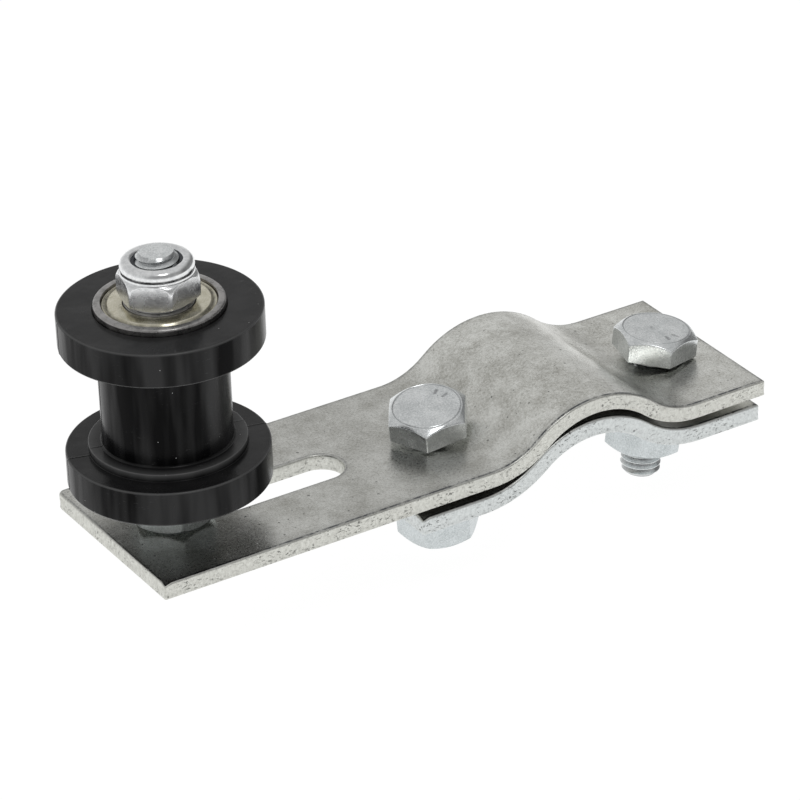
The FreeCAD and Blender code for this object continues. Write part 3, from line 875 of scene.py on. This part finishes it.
def bolt_head(turn, marks):
    """A hexagon head on its washer face, with its underside at z = 0."""
    outline = hexagon_outline(ACROSS_FLATS, turn)
    circle = CHAMFER_CIRCLE * ACROSS_FLATS / 2
    low = WASHER_FACE_HEIGHT
    rings = rings_at(outline, (THREAD_END_RADIUS, 0.0), (circle - 0.1, 0.0), (circle, 0.1),
                     (circle, low))
    rings.append([(x * 0.985, y * 0.985, low) for x, y in outline])
    rings.append([(x, y, low + 0.12) for x, y in outline])
    wall_top = chamfered_side(outline, 0.14, cone(circle, HEAD_HEIGHT))
    rings += between(rings[-1], wall_top[0], 4)
    rings += wall_top
    edge = ring_at(outline, circle + 0.04, HEAD_HEIGHT - 0.03)
    rings += between(rings[-1], edge, 4)
    rings.append(edge)
    for radius, height in ((circle - 0.04, -0.02), (circle - 0.16, -0.10), (circle - 0.30, -0.09),
                           (circle - 0.40, -0.01), (circle - 0.5, 0.0)):
        rings.append(ring_at(outline, radius, HEAD_HEIGHT + height))
    radius = circle - 0.7
    while radius > 0.3:
        sunk = DISH_DEPTH * nearness((radius / DISH_RADIUS) ** 2, 1)
        ring = ring_at(outline, radius, HEAD_HEIGHT - sunk)
        rings.append([(x, y, z - head_marks(x, y, marks)) for x, y, z in ring])
        radius -= 0.13
    rings.append([(0.0, 0.0, HEAD_HEIGHT - DISH_DEPTH)])
    return stack(rings), outline


def hexagon_bolt(length, turn, marks, thread_length):
    """Head above z = 0, and the shank with its thread below."""
    head, outline = bolt_head(turn, marks)
    plain_end = thread_length - length
    shells = [head]
    if plain_end < 0:
        shells.append(stack(rings_at(
            outline, (THREAD_END_RADIUS, plain_end), (3.6, plain_end),
            (THREAD_RADIUS, plain_end + 0.35), (THREAD_RADIUS, -0.2), (THREAD_RADIUS, 0.0),
            (THREAD_END_RADIUS, 0.0))))
    shells.append(thread(min(plain_end, 0.0), -length, outline))
    points, faces = merged(join(*shells))
    return (points, faces), {"painted_recess_shade": [head_recess_shade(*point, marks) for point in points]}


def screw_matrix(screw):
    return (Matrix.Translation((screw["x"], screw["y"], ARM_TOP + screw["lift"]))
            @ Matrix.Rotation(math.radians(screw["lean_x"]), 4, "Y")
            @ Matrix.Rotation(math.radians(screw["lean_y"]), 4, "X"))


def clamp_bolt(node, screw):
    bolt, painted_recess_shade = hexagon_bolt(CLAMP_BOLT_LENGTH, screw["head_turn"], screw["marks"],
                              CLAMP_BOLT_LENGTH)
    piece(node, moved(bolt, screw_matrix(screw)), BOLT_ZINC, painted_recess_shade)


def hexagon_nut(turn):
    """A plain nut with its lower face at z = 0, chamfered outside and countersunk inside."""
    outline = hexagon_outline(ACROSS_FLATS, turn)
    circle = CHAMFER_CIRCLE * ACROSS_FLATS / 2
    top = chamfered_side(outline, 0.16, cone(circle, NUT_HEIGHT))
    top += between(top[-1], ring_at(outline, circle, NUT_HEIGHT), 3)
    top += rings_at(outline, (circle, NUT_HEIGHT), (circle - 0.3, NUT_HEIGHT), (4.5, NUT_HEIGHT),
                    (4.35, NUT_HEIGHT - 0.06), (NUT_BORE_RADIUS, NUT_HEIGHT - 0.45))
    bottom = flipped(top, NUT_HEIGHT)
    rings = bottom + between(bottom[-1], top[0], 3) + top
    return stack(rings, closed=True)


def clamp_nut(node, screw):
    nut = moved(hexagon_nut(screw["nut_turn"]), Matrix.Translation((0, 0, -screw["nut_reach"])))
    piece(node, moved(nut, screw_matrix(screw)), NUT_ZINC)


def on_axle(height):
    return Matrix.Translation((ROLLER_X, 0, height))


def axle_bolt():
    """The long bolt under the arm, its point standing out of the top nut."""
    length = AXLE_TOP - AXLE_BASE - HEAD_HEIGHT
    bolt, painted_recess_shade = hexagon_bolt(length, 0.0, 40.0, AXLE_THREAD_LENGTH)
    upright = Matrix.Rotation(math.pi, 4, "X")
    piece("axle_bolt", moved(bolt, on_axle(AXLE_BASE + HEAD_HEIGHT) @ upright), BOLT_ZINC, painted_recess_shade)


def nyloc_shoulder(radius):
    """The shoulder's height: level beside the collar, falling steeply at the hexagon's corners."""
    share = min(1.0, max(0.0, (radius - NYLOC_SHOULDER_START) / NYLOC_SHOULDER_WIDTH))
    return NYLOC_SHOULDER_TOP - NYLOC_SHOULDER_FALL * (1 - math.sqrt(1 - share ** 2.5))


def nyloc_nut():
    """The top nut: washer face, hexagon, domed shoulder, and a rolled collar round the insert."""
    outline = hexagon_outline(NYLOC_ACROSS_FLATS, NYLOC_TURN, 0.5)
    rings = rings_at(outline, (4.4, 0.0), (NYLOC_FACE_RADIUS - 0.15, 0.0),
                     (NYLOC_FACE_RADIUS, 0.12), (NYLOC_FACE_RADIUS, NYLOC_FACE_HEIGHT))
    rings += flipped(chamfered_side(outline, 0.12, cone(NYLOC_FACE_RADIUS, 0.0, NYLOC_BASE_SLOPE)),
                     NYLOC_FACE_HEIGHT)
    top = chamfered_side(outline, 0.12, nyloc_shoulder)
    rings += between(rings[-1], top[0], 3) + top
    crease = ring_at(outline, NYLOC_CREASE, nyloc_shoulder(NYLOC_CREASE))
    for share in (0.12, 0.25, 0.4, 0.6, 0.8):
        ring = []
        for (x, y, _), (cx, cy, _) in zip(top[2], crease):
            px, py = x + (cx - x) * share, y + (cy - y) * share
            ring.append((px, py, nyloc_shoulder(math.hypot(px, py))))
        rings.append(ring)
    collar = [(6.76, 5.8), (6.7, 5.95), (6.68, 6.15), (6.7, 6.4), (6.75, 6.7), (6.77, 7.05),
              (6.72, 7.45), (6.57, 7.82), (6.3, 8.14), (5.9, 8.36), (5.4, 8.46), (5.0, 8.4),
              (4.76, 8.25), (4.62, 8.07), (4.58, 7.92), (5.35, 7.91), (5.35, 6.02),
              (NUT_BORE_RADIUS, 6.02), (NUT_BORE_RADIUS, 0.5)]
    rings += [crease] + rings_at(outline, *collar)
    points, faces = stack(rings, closed=True)
    flat_top = nyloc_shoulder(NYLOC_ACROSS_FLATS / 2)
    matte = [float(NYLOC_FACE_HEIGHT < z < flat_top and math.hypot(x, y) > NYLOC_FACE_RADIUS + 0.1)
             for x, y, z in points]
    piece("axle_nyloc_nut", moved((points, faces), on_axle(NYLOC_BASE)), BRIGHT_ZINC,
          {"matte": matte})


def ring_piece(node, section, material, shade_band=(0.0, 0.0)):
    """A lathe piece on the roller's axis from a closed section of (radius, height, rounding).

    The last argument is the middle and the half-width, in radius, of a band of painted shade.
    """
    angles = [2 * math.pi * step / RING_COLUMNS for step in range(RING_COLUMNS)]
    points, faces = turned(rounded(section), angles)
    middle, half = shade_band
    painted_recess_shade = [nearness(abs(math.hypot(x, y) - middle), half) if half else 0.0
            for x, y, _ in points]
    piece(node, moved((points, faces), on_axle(0.0)), material, {"painted_recess_shade": painted_recess_shade})


def plain_ring(node, inner, material, ease=0.12):
    """A turned ring with eased edges, as wide and high as its CAD node."""
    low, high = corners(node)
    outer = (high.x - low.x) / 2
    ring_piece(node, [
        (inner, low.z, ease), (outer, low.z, ease), (outer, high.z, ease),
        (inner, high.z, ease)], material)


# ---- bearings and roller

def mirrored(section, middle):
    """A section turned upside down about a height, still running anticlockwise."""
    return [(radius, 2 * middle - height, *rest) for radius, height, *rest in reversed(section)]


def bearing(name, outer_face_up, rings, shields):
    """Two rings of one steel, and an outer and an inner shield of another."""
    low, high = corners(name + "_bearing_outer_ring")
    middle, half = (low.z + high.z) / 2, BEARING_WIDTH / 2
    top, bottom = middle + half, middle - half
    seat, groove = 0.9, 9.6
    ring_piece(name + "_bearing_outer_ring", [
        (10.62, bottom, 0.08), (BEARING_RADIUS, bottom, 0.45), (BEARING_RADIUS, top, 0.45),
        (10.62, top, 0.08), (10.55, top - seat, 0), (groove, top - seat, 0.1),
        (groove, bottom + seat, 0.1), (10.55, bottom + seat, 0)], rings)
    ring_piece(name + "_bearing_inner_ring", [
        (4.0, bottom, 0.35), (6.5, bottom, 0.15), (6.5, middle - 1.4, 0.1), (5.95, middle, 1.5),
        (6.5, middle + 1.4, 0.1), (6.5, top, 0.15), (4.0, top, 0.35)], rings)
    cover = [
        (6.65, top - 0.45, 0), (9.1, top - 0.45, 0.2), (9.6, top - 0.95, 0.2),
        (10.4, top - 0.88, 0.1), (10.46, top - 0.6, 0.08), (10.28, top - 0.36, 0.1),
        (10.08, top - 0.5, 0.1), (9.72, top - 0.66, 0.15), (9.3, top - 0.17, 0.3),
        (6.65, top - 0.15, 0.1)]
    upper_first = (cover, mirrored(cover, middle))
    sections = upper_first if outer_face_up else reversed(upper_first)
    for side, section in zip(("outer", "inner"), sections):
        ring_piece(f"{name}_bearing_{side}_shield", section, shields, shade_band=(9.8, 0.55))


def off_parting(angle, line):
    """Degrees between a direction and a parting line."""
    return abs((angle - line + 180) % 360 - 180)


def roller_angles():
    """Even columns, with close ones at the parting lines."""
    angles = [360 * step / ROLLER_COLUMNS for step in range(ROLLER_COLUMNS)]
    for line in PARTING_ANGLES:
        angles = [angle for angle in angles if off_parting(angle, line) > 1.5]
        angles += [(line + offset) % 360 for offset in (-1.2, -0.5, -0.28, 0, 0.28, 0.5, 1.2)]
    return [math.radians(angle) for angle in sorted(angles)]


def parting_ridge(angle, height):
    """A thin line of flash where the mould's halves met; the end faces have none."""
    if not 0.3 < height < ROLLER_HEIGHT - 0.3:
        return 0.0
    away = min(off_parting(math.degrees(angle), line) for line in PARTING_ANGLES)
    return 0.07 * nearness(away, 0.45)


def roller():
    """A moulded spool with softened edges, moulding flash and a bearing pocket in each end."""
    ledge = FLANGE_THICKNESS + SHOULDER_HEIGHT
    pocket = BEARING_WIDTH - BEARING_STANDOUT
    middle = ROLLER_HEIGHT / 2
    lower = [
        (ROLLER_BORE_RADIUS, pocket, 0.1), (BEARING_RADIUS + 0.02, pocket, 0.05),
        (BEARING_RADIUS + 0.05, 0.0, 0.25), (FLANGE_RADIUS, 0.0, 0.45),
        (FLANGE_RADIUS - 0.02, FLANGE_THICKNESS, 0.4),
        (SHOULDER_RADIUS + 0.05, FLANGE_THICKNESS, 0.12), (SHOULDER_RADIUS, ledge, 0.22),
        (HUB_RADIUS, ledge, 0.5)]
    upper = mirrored(lower, middle)
    section = rounded(lower + [(HUB_RADIUS - 0.02, middle, 0)] + upper)
    angles = roller_angles()
    shell = turned(section, angles, proud=parting_ridge)
    # painted highlight: a mask along the flange edges and the shoulders
    painted_edge_line = []
    for radius, level in section:
        from_top = min(abs(level), abs(ROLLER_HEIGHT - level))
        from_face = min(from_top, abs(from_top - FLANGE_THICKNESS))
        near_rim = math.hypot(FLANGE_RADIUS - radius, from_face)
        near_shoulder = math.hypot(SHOULDER_RADIUS - radius, from_top - ledge)
        painted_edge_line += [nearness(min(near_rim, near_shoulder), 0.4)] * len(angles)
    piece("roller", moved(shell, on_axle(ROLLER_LOW.z)), BLACK_NYLON, {"painted_edge_line": painted_edge_line}, sharp=50.0)


# ---- the object

def build():
    arm_plate()
    clamp_plate()
    clamp_bolt("clamp_bolt_front", FRONT_SCREW)
    clamp_bolt("clamp_bolt_rear", REAR_SCREW)
    clamp_nut("clamp_nut_front", FRONT_SCREW)
    clamp_nut("clamp_nut_rear", REAR_SCREW)
    axle_bolt()
    piece("axle_lock_nut", moved(hexagon_nut(LOCK_NUT_TURN), on_axle(ARM_TOP)), NUT_ZINC)
    nyloc_nut()
    plain_ring("axle_washer", WASHER_BORE_RADIUS, NUT_ZINC)
    plain_ring("bearing_spacer", NUT_BORE_RADIUS, SPACER_STEEL)
    plain_ring("nyloc_insert", NUT_BORE_RADIUS, INSERT_NYLON, 0.25)
    # the lower bearing gets the darker copies, as painted shade under the roller
    bearing("lower", False, PAINTED_SHADE_RING_STEEL, PAINTED_SHADE_SHIELD_STEEL)
    bearing("upper", True, RING_STEEL, SHIELD_STEEL)
    roller()
    for side in ("lower", "upper"):
        for part, material in (("balls", BALL_STEEL), ("cage", CAGE_STEEL)):
            carried = frame["nodes"][f"{side}_bearing_{part}"]
            carried.data.materials.clear()
            carried.data.materials.append(material)


# ---- studio

def studio_floor():
    half, level = 2.0, CAD_BOX[0].z
    mesh = bpy.data.meshes.new("studio_floor")
    mesh.from_pydata([(-half, -half, level), (half, -half, level), (half, half, level),
                      (-half, half, level)], [], [(0, 1, 2, 3)])
    paper = Finish("studio_paper", Roughness=0.9, Specular_IOR_Level=0.0)
    paper.shader.inputs["Emission Strength"].default_value = 0.96
    tone = paper.mix(paper.noise(40.0), (0.10, 0.10, 0.10), (0.12, 0.12, 0.12))
    glow = paper.mix(paper.noise(60.0), (0.99, 0.99, 0.99), (1.0, 1.0, 1.0))
    mesh.materials.append(paper.wear(Base_Color=tone, Emission_Color=glow))
    floor = placed("studio_floor", mesh)


def studio_sky():
    """A soft studio: even overhead and behind, dimmer towards the camera, dark on the right."""
    world = bpy.data.worlds.new("studio")
    bpy.context.scene.world = world
    world.use_nodes = True
    tree = world.node_tree

    def fade(source, near, near_tone, far, far_tone):
        return add_node(tree, "ShaderNodeMapRange", {
            "Value": source, "From Min": near, "From Max": far, "To Min": near_tone,
            "To Max": far_tone}, interpolation_type="SMOOTHSTEP").outputs[0]

    def product(first, second):
        return add_node(tree, "ShaderNodeMath", {0: first, 1: second},
                        operation="MULTIPLY").outputs[0]

    place = add_node(tree, "ShaderNodeTexCoord", {}).outputs["Generated"]
    split = add_node(tree, "ShaderNodeSeparateXYZ", {0: place}).outputs
    height = fade(split["Z"], 0.0, 0.80, 0.45, 0.62)
    side = fade(split["X"], 0.55, 1.0, 0.85, 0.32)
    front = fade(split["Y"], -0.15, 1.0, -0.75, 0.5)
    background = tree.nodes["Background"]
    background.inputs["Color"].default_value = (1.0, 1.0, 1.0, 1.0)
    tree.links.new(product(height, product(side, front)), background.inputs["Strength"])


def key_light():
    """A small softbox, high in front and a little to the left."""
    light = bpy.data.lights.new("key", "AREA")
    light.shape = "RECTANGLE"
    light.size = light.size_y = 0.26
    light.energy = 1.0
    made = placed("key", light)
    made.location = (-0.12, -0.48, 0.85)
    toward = Vector((-0.02, 0.0, 0.02)) - made.location
    made.rotation_euler = toward.to_track_quat("-Z", "Y").to_euler()


def camera():
    """The product view: from the front left, well above, through a long lens."""
    azimuth, elevation, roll = (math.radians(angle) for angle in (-30.936, 28.852, -2.081))
    aim = Vector((-29.86, 0.0, 24.72)) * MM
    distance = 0.84019
    back = Vector((math.sin(azimuth) * math.cos(elevation),
                   -math.cos(azimuth) * math.cos(elevation), math.sin(elevation)))
    level = Vector((math.cos(azimuth), math.sin(azimuth), 0.0))
    upright = back.cross(level)
    right = math.cos(roll) * level + math.sin(roll) * upright
    up = math.cos(roll) * upright - math.sin(roll) * level
    data = bpy.data.cameras.new("product_view")
    data.lens = 201.95
    data.sensor_width = 36.0
    data.clip_start, data.clip_end = 0.05, 20.0
    made = placed("product_view", data)
    turn = Matrix((right, up, back)).transposed().to_4x4()
    made.matrix_world = Matrix.Translation(aim + back * distance) @ turn
    bpy.context.scene.camera = made


build()
studio_floor()
studio_sky()
key_light()
camera()
bpy.context.scene.view_settings.view_transform = "Standard"
